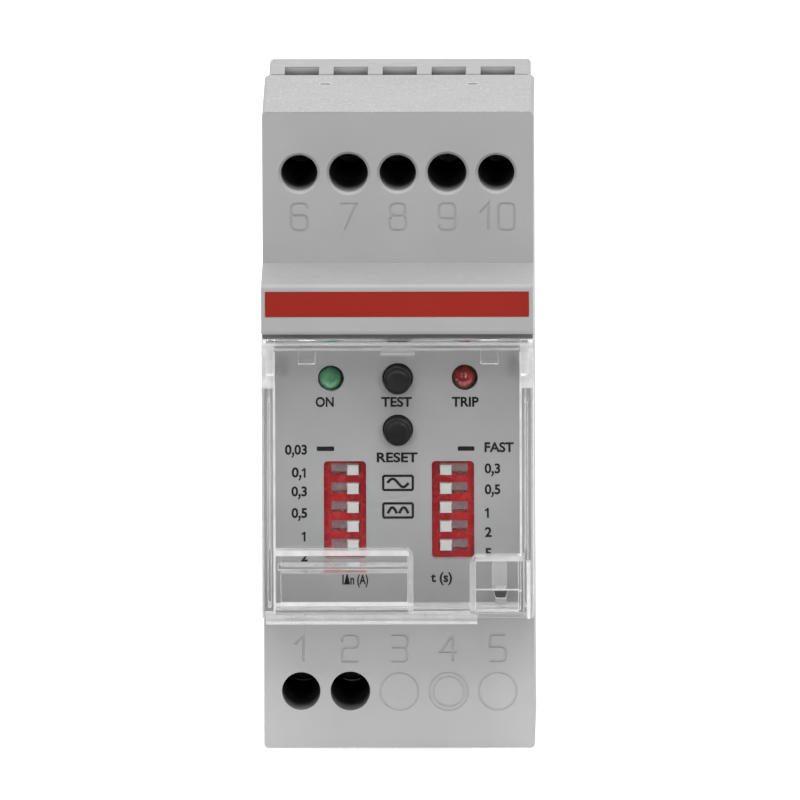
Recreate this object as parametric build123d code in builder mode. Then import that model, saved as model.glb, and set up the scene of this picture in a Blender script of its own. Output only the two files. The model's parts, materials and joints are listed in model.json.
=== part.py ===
"""Residual current relay, two modules wide, for a 35 mm DIN rail.

Frame: +X to the right, +Y into the panel, +Z up, millimetres. The origin is the centre of the rail
seat: the middle of the width and of the rail, on the front plane of the rail's flanges. The front
of the relay faces -Y, so most planes below are given by how far they stand in front of the rail.
"""

from build123d import *
import os

os.makedirs("parts", exist_ok=True)

# ---------------------------------------------------------------- driving dimensions
# Envelope of a two-module rail-mounted case
WIDTH = 35.8
HEIGHT = 85.5
SHOULDER = 44.0  # shoulders in front of the rail plane
NOSE = 60.0  # nose front in front of the rail plane
NOSE_HEIGHT = 45.0
BACK = 5.5  # how far the case reaches behind the rail plane
SEAM = 16.3  # joint between the two shells, in front of the rail plane
WALL = 1.5
SIDE_STEP = 0.55  # the rear shell is this much narrower on each side
REAR_WALL = 1.3  # side walls of the rear shell

# Rail seat and latch
RAIL_HALF = 17.5
HOOK_GAP = 1.2  # flange thickness plus clearance
LATCH_TRAVEL = 4.5

# Terminals
TERMINAL_PITCH = 6.5
TERMINAL_X = [TERMINAL_PITCH * i for i in (-2, -1, 0, 1, 2)]
TOP_WELL_Z = 34.5
BOTTOM_WELL_Z = -35.1
TOP_WELL_RADII = (2.42, 2.58, 2.42, 2.58, 2.42)
BOTTOM_WELL_RADII = (2.55, 2.63)
WELL_CHAMFER = 0.35  # of the upper wells; the lower ones have a plain edge
WELL_FLOOR = 23.4  # rear end of the screw wells
NUMERAL_DEPTH = 0.15
NUMERAL_STROKE = 0.3
TOP_NUMERAL_Z = 28.65
BOTTOM_NUMERAL_Z = -29.3
TEN_SPREAD = 1.35  # the two digits of 10 stand this far either side of their well
WIRE_WIDTH = 4.55
WIRE_REAR = 10.0  # rear edge of the wire entries
BAR_REAR = 14.9
BAR_FRONT = 15.9
CAGE_REAR = 10.3
CAGE_FRONT = 17.7
HEAD_REAR = 21.0
HEAD_FRONT = 23.2
SCREW_RADIUS = 1.45
CAGE_BORE_RADIUS = 1.5

# Setting panel
PANEL = 53.5  # panel face in front of the rail plane
PANEL_SKIN = 1.4
MASK_BOTTOM = 15.75
BUTTON_X = 0.0
TEST_Z = 8.85
RESET_Z = 1.95
BUTTON_HOLE = 2.03
BUTTON_RADIUS = 1.8
BUTTON_FRONT = 56.2
BUTTON_TRAVEL = 1.2
LED_HOLE = 1.72
LED_RADIUS = 1.5
LED_SAG = (-0.12, -0.1)  # the lamps stand off the centres of their holes
LEDS = {"led_green": (-8.8, 8.85), "led_red": (8.85, 8.95)}
DIP_PITCH = 2.54
DIP_WINDOW = (5.6, 13.15)
DIPS = {"left": (-7.0, -8.85), "right": (7.25, -8.85)}
DIP_BODY = (9.9, 14.1)
DIP_FACE = 52.0
SLOT_LENGTH = 3.7
SLOT_HEIGHT = 1.5
SLIDER = (1.6, 1.4)
SLOT_SHIFT = (0.05, 0.18)  # the slots stand off the middle of the window
SLIDER_TOP = 52.9

# Boards
BOARD = 1.6
MAIN_BOARD = BAR_FRONT
FRONT_BOARD = 44.8
FRONT_BOARD_FACE = FRONT_BOARD + BOARD

# Clear cover
COVER_TOP = 15.0
COVER_BOTTOM = -22.2
COVER_PLATE = 1.4
COVER_REAR = 53.7
SIDE_WALL = 1.7
PIVOT_Z = 11.3
PIVOT_F = 57.9  # pivot axis in front of the rail plane
PIVOT_PIN = 0.7
PIVOT_BORE = 0.76
POCKET = 61.6  # front of the two raised pockets
GRIP = (-16.1, 2.0, -21.3, -12.8)  # x from, x to, z from, z to
SEAL = (9.5, 16.6, -21.3, -13.6)


def front(distance):
    """A plane parallel to the front, this far in front of the rail plane, seen from the front."""
    return Plane.XZ.offset(distance)


def save(piece, name):
    """Label a finished piece and write it."""
    piece.label = name
    export_step(piece, f"parts/{name}.step")


def box(x_from, x_to, z_from, z_to, f_from, f_to, mode=Mode.ADD):
    """A block between two distances in front of the rail plane, in the current part."""
    with BuildSketch(front(f_from)) as outline:
        with Locations(((x_from + x_to) / 2, (z_from + z_to) / 2)):
            Rectangle(x_to - x_from, z_to - z_from)
    extrude(outline.sketch, amount=f_to - f_from, mode=mode)


def rod(x, z, radius, f_from, f_to, mode=Mode.ADD):
    """A round bar or hole square to the front, in the current part."""
    with BuildSketch(front(f_from)) as outline:
        with Locations((x, z)):
            Circle(radius)
    extrude(outline.sketch, amount=f_to - f_from, mode=mode)


def side_profile(points, x_from, x_to, mode=Mode.ADD):
    """A closed outline of (y, z) points, extruded from one x to another, in the current part."""
    with BuildSketch(Plane.YZ.offset(x_from)) as outline:
        with BuildLine():
            Polyline(*points, close=True)
        make_face()
    extrude(outline.sketch, amount=x_to - x_from, mode=mode)


# ---------------------------------------------------------------- engraved numerals
HALF_W = 1.05
HALF_H = 1.78
NUMERAL_ROUND = 0.6
# Paths on a grid from -1 to 1, first those with rounded corners, then those with sharp ones
ROUNDED = {
    "0": [[(-1, 1), (1, 1), (1, -1), (-1, -1), (-1, 1)]],
    "2": [[(-1, 0.5), (-1, 1), (1, 1), (1, 0.05), (-1, 0.05), (-1, -0.7)]],
    "3": [[(-1, 1), (1, 1), (1, 0.05), (-0.9, 0.05)], [(0.1, 0.05), (1, 0.05), (1, -1), (-1, -1)]],
    "5": [[(-1, 0.1), (1, 0.1), (1, -1), (-1, -1)]],
    "6": [[(1, 0.6), (1, 1), (-1, 1), (-1, -1), (1, -1), (1, 0.12), (-1, 0.12)]],
    "8": [
        [(-0.9, 1), (0.9, 1), (0.9, 0.08), (-0.9, 0.08), (-0.9, 1)],
        [(-1, 0.08), (1, 0.08), (1, -1), (-1, -1), (-1, 0.08)],
    ],
    "9": [[(-1, -0.6), (-1, -1), (1, -1), (1, 1), (-1, 1), (-1, -0.12), (1, -0.12)]],
}
SHARP = {
    "1": [[(-0.75, 0.3), (0.3, 1), (0.3, -1)]],
    "2": [[(-1, -0.6), (-1, -1), (1, -1)]],
    "4": [[(0.55, 1), (-1, -0.3), (1, -0.3)], [(0.55, 1), (0.55, -1)]],
    "5": [[(1, 1), (-0.85, 1), (-1, 0.1)]],
    "7": [[(-1, 1), (1, 1), (-0.5, -1)]],
}


def numeral(digit, x, z):
    """Engrave one single-stroke digit in the shoulder, in the current part."""
    with BuildSketch(front(SHOULDER)) as strokes:
        for path in ROUNDED.get(digit, []):
            with BuildLine() as stroke:
                corners = [(x + HALF_W * px, z + HALF_H * pz) for px, pz in path]
                FilletPolyline(*corners, radius=NUMERAL_ROUND)
            trace(stroke.line, line_width=NUMERAL_STROKE)
        for path in SHARP.get(digit, []):
            with BuildLine() as stroke:
                Polyline(*[(x + HALF_W * px, z + HALF_H * pz) for px, pz in path])
            trace(stroke.line, line_width=NUMERAL_STROKE)
    extrude(strokes.sketch, amount=-NUMERAL_DEPTH, mode=Mode.SUBTRACT)


# ---------------------------------------------------------------- rear shell
BASE_HALF = WIDTH / 2 - SIDE_STEP
BASE_INNER = BASE_HALF - REAR_WALL
TOP = HEIGHT / 2
CORNER_Y = -4.0  # where the end faces turn in towards the back
BACK_Z = 33.5
RIB = 0.45  # half thickness of the ribs between terminals
CHAMBER_Z = 30.2  # inner end of the terminal chambers
LATCH_BLOCK_TOP = -19.0
CHANNEL_FRONT_Y = 0.9
CHANNEL_NECK_Y = 3.3
CHANNEL_HALF = 6.2
NECK_HALF = 4.2
SNAP_X = TERMINAL_PITCH * 1.5
SNAP_HALF = 1.0
SNAP_F = 23.0
POST_X = 12.5
POST_Z = 22.0

with BuildPart() as base_shell:
    side_profile(
        [
            (-SEAM, TOP),
            (CORNER_Y, TOP),
            (BACK, BACK_Z),
            (BACK, 20.5),
            (3.2, 16.2),
            (1.7, 16.2),
            (HOOK_GAP, 16.7),
            (HOOK_GAP, RAIL_HALF + 0.4),
            (0, RAIL_HALF + 0.4),
            (0, LATCH_BLOCK_TOP),
            (BACK, LATCH_BLOCK_TOP),
            (BACK, -BACK_Z),
            (CORNER_Y, -TOP),
            (-SEAM, -TOP),
        ],
        -BASE_HALF,
        BASE_HALF,
    )
    end_corners = base_shell.edges().filter_by(Axis.Y).group_by(Axis.Z)
    fillet(end_corners[0] + end_corners[-1], radius=0.6)
    side_profile(
        [
            (-SEAM - 1, TOP - WALL),
            (CORNER_Y - 0.6, TOP - WALL),
            (BACK - WALL, BACK_Z - 0.6),
            (BACK - WALL, 21.4),
            (-WALL, 19.4),
            (-WALL, -38.1),
            (CORNER_Y - 0.6, -TOP + WALL),
            (-SEAM - 1, -TOP + WALL),
        ],
        -BASE_INNER,
        BASE_INNER,
        Mode.SUBTRACT,
    )
    for end in (1, -1):
        z_in, z_out = sorted((end * CHAMBER_Z, end * (TOP - WALL + 0.2)))
        # floor behind the wires, wall on the board's side, ribs between terminals
        box(-BASE_INNER - 0.1, BASE_INNER + 0.1, z_in, z_out, 8.4, 9.7)
        z_low, z_high = sorted((end * CHAMBER_Z, end * (CHAMBER_Z - 1.0)))
        wall_rear = -2.3 if end > 0 else 1.3
        box(-BASE_INNER - 0.1, BASE_INNER + 0.1, z_low, z_high, wall_rear, BAR_REAR - 0.1)
        for x in TERMINAL_X[:-1]:
            middle = x + TERMINAL_PITCH / 2
            box(middle - RIB, middle + RIB, z_in, z_out, 9.0, SEAM)
        # snap tongues that reach into the front shell, each with a nub
        for x in (-SNAP_X, SNAP_X):
            tongue = sorted((end * (TOP - WALL - 0.15), end * (TOP - WALL - 1.3)))
            box(x - SNAP_HALF, x + SNAP_HALF, *tongue, SEAM - 3, SNAP_F + 1.6)
            root = sorted((end * (TOP - WALL + 0.2), end * (TOP - WALL - 1.3)))
            box(x - SNAP_HALF, x + SNAP_HALF, *root, SEAM - 3, SEAM)
            with BuildSketch(Plane.XY.offset(end * (TOP - WALL - 1.0))):
                with Locations((x, -SNAP_F)):
                    Circle(0.55)
            extrude(amount=end * (WALL + 0.8))
    wired = [(x, 1) for x in TERMINAL_X] + [(x, -1) for x in TERMINAL_X[:2]]
    for x, end in wired:
        entry = sorted((end * (TOP + 1), end * (TOP - WALL - 0.1)))
        box(x - WIRE_WIDTH / 2, x + WIRE_WIDTH / 2, *entry, WIRE_REAR, SEAM + 1, Mode.SUBTRACT)
    # posts that carry the main board
    for x in (-POST_X, POST_X):
        for z in (-POST_Z, POST_Z):
            rod(x, z, 2.0, 0.7 if abs(z) < 19 else -1.0, MAIN_BOARD)
    # T-shaped channel for the rail latch, open to the back and to both ends
    side_profile(
        [(CHANNEL_FRONT_Y, -18), (CHANNEL_NECK_Y, -18), (CHANNEL_NECK_Y, -43), (CHANNEL_FRONT_Y, -43)],
        -CHANNEL_HALF,
        CHANNEL_HALF,
        Mode.SUBTRACT,
    )
    side_profile(
        [(CHANNEL_NECK_Y - 0.2, -18), (BACK + 1, -18), (BACK + 1, -43), (CHANNEL_NECK_Y - 0.2, -43)],
        -NECK_HALF,
        NECK_HALF,
        Mode.SUBTRACT,
    )
    # post that the latch spring stands on
    side_profile([(0.5, -36.0), (5.0, -36.0), (5.0, -34.6), (0.5, -34.6)], -1.7, 1.7)
    # weight-saving pockets beside the channel
    for side in (1, -1):
        x_near, x_far = sorted((side * 8.0, side * (BASE_HALF - 1.6)))
        for z_low in (-25.6, -32.2):
            pocket = [(0.0, z_low), (BACK + 1, z_low), (BACK + 1, z_low + 5.2), (0.0, z_low + 5.2)]
            side_profile(pocket, x_near, x_far, Mode.SUBTRACT)

save(base_shell.part, "base_shell")

# ---------------------------------------------------------------- front shell
HALF = WIDTH / 2
FRONT_INNER = HALF - 1.6
NOSE_HALF = NOSE_HEIGHT / 2
RING_STROKE = 0.28
RING_DEPTH = 0.12
LABEL = (34.7, 3.35)
LABEL_Z = 19.85
LABEL_DEPTH = 0.15
WELL_BLOCK = (30.9, 38.3)
LUG_FROM = 16.42
LUG_TO = 17.08
LUG_RADIUS = 1.3
SEAL_LUG_X = 13.55

with BuildPart() as front_shell:
    box(-HALF, HALF, -TOP, TOP, SEAM, SHOULDER)
    end_corners = front_shell.edges().filter_by(Axis.Y).group_by(Axis.Z)
    fillet(end_corners[0] + end_corners[-1], radius=0.6)
    box(-HALF, HALF, -NOSE_HALF, NOSE_HALF, SHOULDER - 1, PANEL)
    box(-HALF, HALF, MASK_BOTTOM, NOSE_HALF, PANEL - 1, NOSE)
    mask_edges = front_shell.faces().sort_by(Axis.Y)[0].edges().filter_by(Axis.X)
    fillet(mask_edges, radius=0.6)
    # hollow of the shoulders, of the nose and of the mask
    box(-FRONT_INNER, FRONT_INNER, -TOP + WALL, TOP - WALL, SEAM - 1, SHOULDER - WALL, Mode.SUBTRACT)
    nose_inside = NOSE_HALF - WALL
    skin = PANEL - PANEL_SKIN
    box(-FRONT_INNER, FRONT_INNER, -nose_inside, nose_inside, SHOULDER - 2, skin, Mode.SUBTRACT)
    mask_low = MASK_BOTTOM + WALL
    box(-FRONT_INNER, FRONT_INNER, mask_low, nose_inside, skin - 1, NOSE - WALL, Mode.SUBTRACT)
    # blocks around the screw wells, and ribs between the screw heads
    for end in (1, -1):
        block = sorted((end * WELL_BLOCK[0], end * WELL_BLOCK[1]))
        box(-FRONT_INNER - 0.1, FRONT_INNER + 0.1, *block, WELL_FLOOR, SHOULDER - WALL + 0.1)
        for x in TERMINAL_X[:-1]:
            middle = x + TERMINAL_PITCH / 2
            box(middle - RIB, middle + RIB, *block, SEAM + 0.3, WELL_FLOOR + 0.1)
    for x, radius in zip(TERMINAL_X, TOP_WELL_RADII):
        rod(x, TOP_WELL_Z, radius, WELL_FLOOR - 0.5, SHOULDER + 0.5, Mode.SUBTRACT)
        with BuildSketch(front(SHOULDER)):
            with Locations((x, TOP_WELL_Z)):
                Circle(radius + WELL_CHAMFER)
        extrude(amount=-WELL_CHAMFER, taper=44.9, mode=Mode.SUBTRACT)
    for x, radius in zip(TERMINAL_X, BOTTOM_WELL_RADII):
        rod(x, BOTTOM_WELL_Z, radius, WELL_FLOOR - 0.5, SHOULDER + 0.5, Mode.SUBTRACT)
    # ring marks of the three positions without a terminal
    rings = [(TERMINAL_X[2], 2.65), (TERMINAL_X[3], 2.7), (TERMINAL_X[3], 2.15), (TERMINAL_X[4], 2.65)]
    for x, radius in rings:
        with BuildSketch(front(SHOULDER)):
            with Locations((x, BOTTOM_WELL_Z)):
                Circle(radius)
                Circle(radius - RING_STROKE, mode=Mode.SUBTRACT)
        extrude(amount=-RING_DEPTH, mode=Mode.SUBTRACT)
    for x, digit in zip(TERMINAL_X, "6789"):
        numeral(digit, x, TOP_NUMERAL_Z)
    numeral("1", TERMINAL_X[4] - TEN_SPREAD, TOP_NUMERAL_Z)
    numeral("0", TERMINAL_X[4] + TEN_SPREAD, TOP_NUMERAL_Z)
    for x, digit in zip(TERMINAL_X, "12345"):
        numeral(digit, x, BOTTOM_NUMERAL_Z)
    # snap windows in the end faces
    for end in (1, -1):
        with BuildSketch(Plane.XY.offset(end * (TOP - WALL - 0.5))):
            with Locations((-SNAP_X, -SNAP_F), (SNAP_X, -SNAP_F)):
                Circle(0.75)
        extrude(amount=end * 3, mode=Mode.SUBTRACT)
    # openings in the panel
    for z in (TEST_Z, RESET_Z):
        rod(BUTTON_X, z, BUTTON_HOLE, skin - 1, PANEL + 1, Mode.SUBTRACT)
    for x, z in LEDS.values():
        rod(x, z, LED_HOLE, skin - 1, PANEL + 1, Mode.SUBTRACT)
    for x, z in DIPS.values():
        with BuildSketch(front(skin - 1)):
            with Locations((x, z)):
                RectangleRounded(*DIP_WINDOW, radius=0.55)
        extrude(amount=PANEL_SKIN + 2, mode=Mode.SUBTRACT)
    # shallow seat of the coloured strip
    with BuildSketch(front(NOSE)):
        with Locations((0, LABEL_Z)):
            Rectangle(LABEL[0] + 0.1, LABEL[1] + 0.1)
    extrude(amount=-LABEL_DEPTH, mode=Mode.SUBTRACT)
    # hinge lugs at the sides of the panel, and the lug that takes a sealing wire
    for side in (1, -1):
        x_low, x_high = sorted((side * LUG_FROM, side * LUG_TO))
        with BuildSketch(Plane.YZ.offset(x_low)):
            with Locations((-PIVOT_F, PIVOT_Z)):
                Circle(LUG_RADIUS)
            with Locations(((-PIVOT_F - PANEL) / 2 + 0.3, PIVOT_Z - LUG_RADIUS + 0.5)):
                Rectangle(PIVOT_F - PANEL + 0.6, 1.0)
            with Locations((-PIVOT_F, PIVOT_Z)):
                Circle(PIVOT_BORE, mode=Mode.SUBTRACT)
        extrude(amount=x_high - x_low)
    box(SEAL_LUG_X - 0.7, SEAL_LUG_X + 0.7, -20.5, -19.0, PANEL - 0.5, 59.4)
    with BuildSketch(Plane.YZ.offset(SEAL_LUG_X - 2)):
        with Locations((-58.4, -19.75)):
            Circle(0.4)
    extrude(amount=4, mode=Mode.SUBTRACT)
    # posts behind the panel that carry the front board
    for x in (-14.6, 14.6):
        for z in (-18.4, 14.6):
            rod(x, z, 1.3, FRONT_BOARD_FACE, skin + 0.1)

save(front_shell.part, "front_shell")

with BuildPart() as label_strip:
    with BuildSketch(front(NOSE - LABEL_DEPTH)):
        with Locations((0, LABEL_Z)):
            RectangleRounded(*LABEL, radius=0.15)
    extrude(amount=LABEL_DEPTH - 0.03)

save(label_strip.part, "label_strip")

# ---------------------------------------------------------------- clear cover
PLATE_REAR = NOSE - COVER_PLATE
EAR_FROM = 17.25
EAR_RADIUS = 2.3
POCKET_WALL = 0.7
LIP = (-17.4, 10.5)
LIP_DROP = 0.55

with BuildPart() as clear_cover:
    box(-HALF, HALF, COVER_BOTTOM, COVER_TOP, PLATE_REAR, NOSE)
    top_front = clear_cover.faces().sort_by(Axis.Y)[0].edges().sort_by(Axis.Z)[-1]
    fillet(top_front, radius=0.9)
    # bottom wall and side walls, the side walls cored out from behind
    box(-HALF, HALF, COVER_BOTTOM, COVER_BOTTOM + 1.0, COVER_REAR, PLATE_REAR + 0.1)
    for side in (1, -1):
        x_low, x_high = sorted((side * (HALF - SIDE_WALL), side * HALF))
        box(x_low, x_high, COVER_BOTTOM, 8.6, COVER_REAR, PLATE_REAR + 0.1)
        core = sorted((side * 16.7, side * 17.15))
        box(*core, COVER_BOTTOM + 1.2, 6.6, COVER_REAR - 1, NOSE - 1.8, Mode.SUBTRACT)
    # thicker rim along the top edge, its middle lug and its two tabs
    box(-16.1, 16.1, 13.7, COVER_TOP, 58.0, PLATE_REAR + 0.1)
    box(-2.2, 2.3, 13.0, 13.8, 58.0, PLATE_REAR + 0.1)
    for x_low, x_high in ((-13.0, -10.8), (11.0, 13.3)):
        box(x_low, x_high, 11.7, 13.8, 57.7, PLATE_REAR + 0.1)
        tip = [(-57.6, 11.6), (-58.3, 11.6), (-57.6, 12.5)]
        side_profile(tip, x_low - 0.1, x_high + 0.1, Mode.SUBTRACT)
    # ears with the pivot pins, hollowed around the hinge lugs of the front shell
    for side in (1, -1):
        x_low, x_high = sorted((side * EAR_FROM, side * HALF))
        with BuildSketch(Plane.YZ.offset(x_low)):
            with Locations((-PIVOT_F, PIVOT_Z)):
                Circle(EAR_RADIUS)
            with Locations((-NOSE, PIVOT_Z)):
                Rectangle(1.4, 8, mode=Mode.SUBTRACT)
        extrude(amount=x_high - x_low)
        hollow = sorted((side * (HALF - SIDE_WALL), side * EAR_FROM))
        with BuildSketch(Plane.YZ.offset(hollow[0])):
            with Locations((-PIVOT_F, PIVOT_Z)):
                Circle(LUG_RADIUS + 0.2)
        extrude(amount=hollow[1] - hollow[0], mode=Mode.SUBTRACT)
        pin = sorted((side * (HALF - SIDE_WALL + 0.05), side * (EAR_FROM + 0.2)))
        with BuildSketch(Plane.YZ.offset(pin[0])):
            with Locations((-PIVOT_F, PIVOT_Z)):
                Circle(PIVOT_PIN)
        extrude(amount=pin[1] - pin[0])
    # raised marker pocket at the lower left, hollow from behind, with a shelf inside
    x0, x1, z0, z1 = GRIP
    with BuildSketch(front(NOSE - 0.1)):
        with Locations(((x0 + x1) / 2, (z0 + z1) / 2)):
            Rectangle(x1 - x0, z1 - z0)
        fillet(vertices().sort_by(Axis.X)[-2:].sort_by(Axis.Y)[-1], radius=1.1)
    extrude(amount=POCKET - NOSE + 0.1)
    box(x0 + POCKET_WALL, x1 - POCKET_WALL, z0 + POCKET_WALL, z1 - POCKET_WALL,
        PLATE_REAR - 0.5, POCKET - POCKET_WALL, Mode.SUBTRACT)
    box(x0 + 0.3, x1 - 0.3, -15.9, -15.1, 57.4, POCKET - 0.2)
    # raised seal pocket at the lower right, its lower half stepped back and slotted
    x0, x1, z0, z1 = SEAL
    with BuildSketch(front(NOSE - 0.1)):
        with Locations(((x0 + x1) / 2, (z0 + z1) / 2)):
            Rectangle(x1 - x0, z1 - z0)
        chamfer(vertices().sort_by(Axis.X)[:2].sort_by(Axis.Y)[-1], length=0.8)
    extrude(amount=POCKET - NOSE + 0.1)
    box(x0 + POCKET_WALL, x1 - POCKET_WALL, -18.2, z1 - POCKET_WALL,
        PLATE_REAR - 0.5, POCKET - POCKET_WALL, Mode.SUBTRACT)
    box(x0 + POCKET_WALL, x1 - POCKET_WALL, z0 + POCKET_WALL, -18.1,
        PLATE_REAR - 0.5, NOSE, Mode.SUBTRACT)
    box(x0 + POCKET_WALL, x1 - POCKET_WALL, z0 + 0.3, -18.2, NOSE + 0.7, POCKET + 1, Mode.SUBTRACT)
    with BuildSketch(front(NOSE - 1)):
        with BuildLine():
            Polyline((12.6, -18.4), (14.5, -18.4), (14.2, -19.4), (12.9, -19.4), close=True)
        make_face()
    extrude(amount=3, mode=Mode.SUBTRACT)
    # lifting lip along the lower edge, and a short rib at the right
    box(*LIP, COVER_BOTTOM - LIP_DROP, COVER_BOTTOM + 0.1, PLATE_REAR, POCKET)
    box(*LIP, COVER_BOTTOM, COVER_BOTTOM + 0.9, NOSE - 0.1, POCKET)
    box(17.0, 17.5, -22.2, -14.5, NOSE - 0.1, NOSE + 0.8)

save(clear_cover.part, "clear_cover")

# ---------------------------------------------------------------- rail latch and spring
LATCH_TIP = -16.2
LATCH_END = -41.8
WINDOW = (-36.3, -25.0)
SPRING_Y = 2.95
SPRING_RADIUS = 1.4
SPRING_WIRE = 0.25

with BuildPart() as rail_latch:
    side_profile(
        [(1.1, LATCH_TIP), (1.6, LATCH_TIP), (3.1, LATCH_TIP - 2.2), (3.1, LATCH_END), (1.1, LATCH_END)],
        -CHANNEL_HALF + 0.2,
        CHANNEL_HALF - 0.2,
    )
    side_profile([(3.0, -20.0), (5.1, -20.0), (5.1, -36.9), (3.0, -36.9)], -NECK_HALF + 0.2, NECK_HALF - 0.2)
    side_profile([(0, WINDOW[0]), (6, WINDOW[0]), (6, WINDOW[1]), (0, WINDOW[1])], -2.1, 2.1, Mode.SUBTRACT)
    side_profile([(0, -40.4), (6, -40.4), (6, -38.9), (0, -38.9)], -2.4, 2.4, Mode.SUBTRACT)

save(rail_latch.part, "rail_latch")


def coil_spring(name, origin, z_dir, length, radius, wire, turns):
    """A plain compression spring that starts at origin and runs along z_dir."""
    rise = length - 2 * wire
    start = Vector(*origin) + Vector(*z_dir) * wire
    with BuildPart() as spring:
        with BuildLine():
            coil = Helix(rise / turns, rise, radius, center=start, direction=z_dir)
        with BuildSketch(Plane(origin=coil @ 0, z_dir=coil % 0)):
            Circle(wire)
        sweep(is_frenet=True)
    save(spring.part, name)


coil_spring("latch_spring", (0, SPRING_Y, -34.55), (0, 0, 1), 9.5, SPRING_RADIUS, SPRING_WIRE, 6)

# ---------------------------------------------------------------- terminals
BAR_WIDTH = 3.2
BAR_INNER_END = 25.4
BAR_OUTER_END = 38.0
BAR_PIN_Z = 26.6
BAR_PIN_RADIUS = 0.45
CAGE_WIDTH = 5.2
CAGE_LENGTH = 6.8
CAGE_WALL = 0.75
HEAD_RADIUS = 2.6

TERMINALS = {
    f"{number}": (x, z)
    for number, x, z in zip(
        (6, 7, 8, 9, 10, 1, 2),
        TERMINAL_X + TERMINAL_X[:2],
        [TOP_WELL_Z] * 5 + [BOTTOM_WELL_Z] * 2,
    )
}


def contact_bars(name, centres, end):
    """The fixed bars of one end, each with a pin through the main board."""
    with BuildPart() as bars:
        for x in centres:
            span = sorted((end * BAR_INNER_END, end * BAR_OUTER_END))
            box(x - BAR_WIDTH / 2, x + BAR_WIDTH / 2, *span, BAR_REAR, BAR_FRONT)
            rod(x, end * BAR_PIN_Z, BAR_PIN_RADIUS, BAR_FRONT - 0.5, MAIN_BOARD + BOARD + 0.8)
    save(bars.part, name)


def cage(name, x, z):
    """A lifting cage around the bar, with the screw's thread in its front wall."""
    with BuildPart() as clamp:
        half = CAGE_LENGTH / 2
        box(x - CAGE_WIDTH / 2, x + CAGE_WIDTH / 2, z - half, z + half, CAGE_REAR, CAGE_FRONT)
        fillet(clamp.edges().filter_by(Axis.Z), radius=0.5)
        inner = CAGE_WIDTH / 2 - CAGE_WALL
        box(x - inner, x + inner, z - half - 1, z + half + 1,
            CAGE_REAR + 0.9, BAR_FRONT + 0.2, Mode.SUBTRACT)
        rod(x, z, CAGE_BORE_RADIUS, BAR_FRONT, CAGE_FRONT + 1, Mode.SUBTRACT)
    save(clamp.part, name)


def terminal_screw(name, x, z):
    """A clamp screw with a slotted cross head, which stands on the bar."""
    with BuildPart() as screw:
        rod(x, z, SCREW_RADIUS, BAR_FRONT + 0.05, HEAD_REAR + 0.1)
        rod(x, z, HEAD_RADIUS, HEAD_REAR, HEAD_FRONT)
        chamfer(screw.faces().sort_by(Axis.Y)[0].edges(), length=0.4)
        box(x - 3, x + 3, z - 0.4, z + 0.4, HEAD_FRONT - 1.1, HEAD_FRONT + 1, Mode.SUBTRACT)
        box(x - 0.35, x + 0.35, z - 1.5, z + 1.5, HEAD_FRONT - 1.1, HEAD_FRONT + 1, Mode.SUBTRACT)
    save(screw.part, name)


contact_bars("terminal_bars_top", TERMINAL_X, 1)
contact_bars("terminal_bars_bottom", TERMINAL_X[:2], -1)
for number, (x, z) in TERMINALS.items():
    cage(f"terminal_cage_{number}", x, z)
    terminal_screw(f"terminal_screw_{number}", x, z)

# ---------------------------------------------------------------- boards
BOARD_HALF_X = 15.2
BOARD_HALF_Z = 28.6
HEADER_Z = 14.8
PIN_PITCH = 2.54
PIN_X = [PIN_PITCH * (i - 3.5) for i in range(8)]

with BuildPart() as main_board:
    box(-BOARD_HALF_X, BOARD_HALF_X, -BOARD_HALF_Z, BOARD_HALF_Z, MAIN_BOARD, MAIN_BOARD + BOARD)
    for x in TERMINAL_X:
        rod(x, BAR_PIN_Z, BAR_PIN_RADIUS + 0.1, MAIN_BOARD - 1, MAIN_BOARD + BOARD + 1, Mode.SUBTRACT)
    for x in TERMINAL_X[:2]:
        rod(x, -BAR_PIN_Z, BAR_PIN_RADIUS + 0.1, MAIN_BOARD - 1, MAIN_BOARD + BOARD + 1, Mode.SUBTRACT)

save(main_board.part, "main_board")

with BuildPart() as front_board:
    box(-15.9, 15.9, -20.2, 16.6, FRONT_BOARD, FRONT_BOARD_FACE)
    for x in PIN_X:
        rod(x, HEADER_Z, 0.5, FRONT_BOARD - 1, FRONT_BOARD_FACE + 1, Mode.SUBTRACT)

save(front_board.part, "front_board")

with BuildPart() as board_header:
    main_face = MAIN_BOARD + BOARD
    box(-10.2, 10.2, HEADER_Z - 1.25, HEADER_Z + 1.25, main_face, main_face + 2.5)
    box(-10.2, 10.2, HEADER_Z - 1.25, HEADER_Z + 1.25, FRONT_BOARD - 2.5, FRONT_BOARD)
    for x in PIN_X:
        box(x - 0.32, x + 0.32, HEADER_Z - 0.32, HEADER_Z + 0.32, main_face + 0.1, FRONT_BOARD_FACE + 1.0)

save(board_header.part, "board_header")

# ---------------------------------------------------------------- setting switches
SLOT_FLOOR = 49.5


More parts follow.
